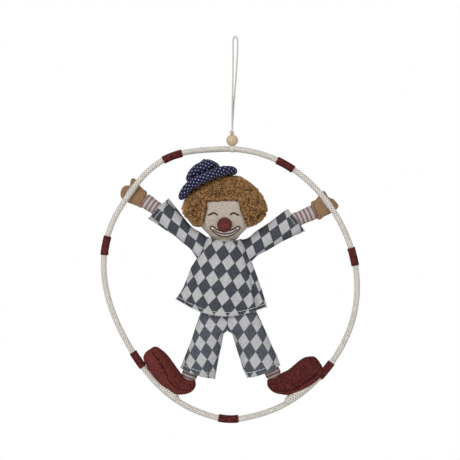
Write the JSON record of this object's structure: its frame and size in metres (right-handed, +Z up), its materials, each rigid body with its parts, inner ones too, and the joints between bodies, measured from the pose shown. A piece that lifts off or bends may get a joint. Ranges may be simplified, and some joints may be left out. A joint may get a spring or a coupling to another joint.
{
  "type": "baby mobile",
  "caption": "Hanging toy: a stuffed cloth clown with spread arms and legs, sewn inside a rope-covered hoop that hangs from a doubled cotton cord and a wooden bead.",
  "frame": {"origin": "hook point: the underside of the top of the cord's hanging loop", "axes": "+Z up along the hanging cord, +X to the viewer's right, and the clown faces -Y"},
  "size_m": [0.2598, 0.0544, 0.3864],
  "materials": {
    "cotton_cord": "twisted off-white cotton",
    "pale_wood": "bare sanded wood",
    "steel": "plain drawn wire",
    "braided_rope": "braided off-white cotton sleeve",
    "rust_felt": "rust-brown wool felt",
    "cream_linen": "cream linen weave",
    "brown_curls": "golden-brown curly pile",
    "red_felt": "dark red wool felt",
    "dark_thread": "dark embroidery thread",
    "brown_thread": "red-brown embroidery thread",
    "navy_cotton": "navy cotton with white dots",
    "diamond_canvas": "cotton canvas with a grey and white diamond print",
    "striped_knit": "white knit with mauve stripes",
    "brown_cotton": "light brown cotton"
  },
  "bodies": {
    "cord": {"hanging_cord": "cotton_cord"},
    "knot": {"cord_knot": "cotton_cord"},
    "tie": {"tie_loop": "cotton_cord"},
    "bead": {"wooden_bead": "pale_wood"},
    "hoop": {"hoop_wire": "steel", "wire_ferrule": "steel", "hoop_rope": "braided_rope", "hoop_band_1": "rust_felt", "hoop_band_2": "rust_felt", "hoop_band_3": "rust_felt", "hoop_band_4": "rust_felt", "hoop_band_5": "rust_felt", "hoop_band_6": "rust_felt", "hoop_band_7": "rust_felt", "torso": "cream_linen", "tunic": "diamond_canvas", "sleeve_left": "diamond_canvas", "sleeve_right": "diamond_canvas", "arm_left": "striped_knit", "arm_right": "striped_knit", "hand_left": "brown_cotton", "hand_right": "brown_cotton", "hand_stitch_left": "cotton_cord", "hand_stitch_right": "cotton_cord", "trousers": "diamond_canvas", "leg_left": "striped_knit", "leg_right": "striped_knit", "shoe_left": "rust_felt", "shoe_right": "rust_felt", "foot_stitch_left": "cotton_cord", "foot_stitch_right": "cotton_cord"},
    "neck": {"neck": "cream_linen"},
    "head": {"head": "cream_linen", "hair": "brown_curls", "nose": "red_felt", "eye_left": "dark_thread", "eye_right": "dark_thread", "mouth": "brown_thread", "hat_brim": "navy_cotton", "hat_crown": "navy_cotton"}
  },
  "joints": [
    {"name": "hoop_rock", "type": "hinge", "parent": "cord", "child": "knot", "pos_m": [-0.0032, 0, -0.0956], "axis": [0, 1, 0], "range_deg": [-20, 20]},
    {"name": "hoop_twist", "type": "hinge", "parent": "knot", "child": "tie", "pos_m": [-0.0032, 0, -0.10306], "axis": [0, 0, 1], "range_deg": [-180, 180]},
    {"name": "bead_spin", "type": "hinge", "parent": "tie", "child": "bead", "pos_m": [-0.0032, 0, -0.10306], "axis": [0, 0, 1], "continuous": true},
    {"name": "hoop_tilt", "type": "hinge", "parent": "tie", "child": "hoop", "pos_m": [-0.0032, 0, -0.11176], "axis": [0.9992, 0, -0.0407], "range_deg": [-45, 45]},
    {"name": "head_nod", "type": "hinge", "parent": "hoop", "child": "neck", "pos_m": [-0.0109, -0.004, -0.20816], "axis": [1, 0, 0], "range_deg": [-10, 10], "stiffness_Nm_per_rad": 0.3},
    {"name": "head_turn", "type": "hinge", "parent": "neck", "child": "head", "pos_m": [-0.0109, -0.004, -0.20816], "axis": [0, 0, 1], "range_deg": [-25, 25], "stiffness_Nm_per_rad": 0.2}
  ]
}
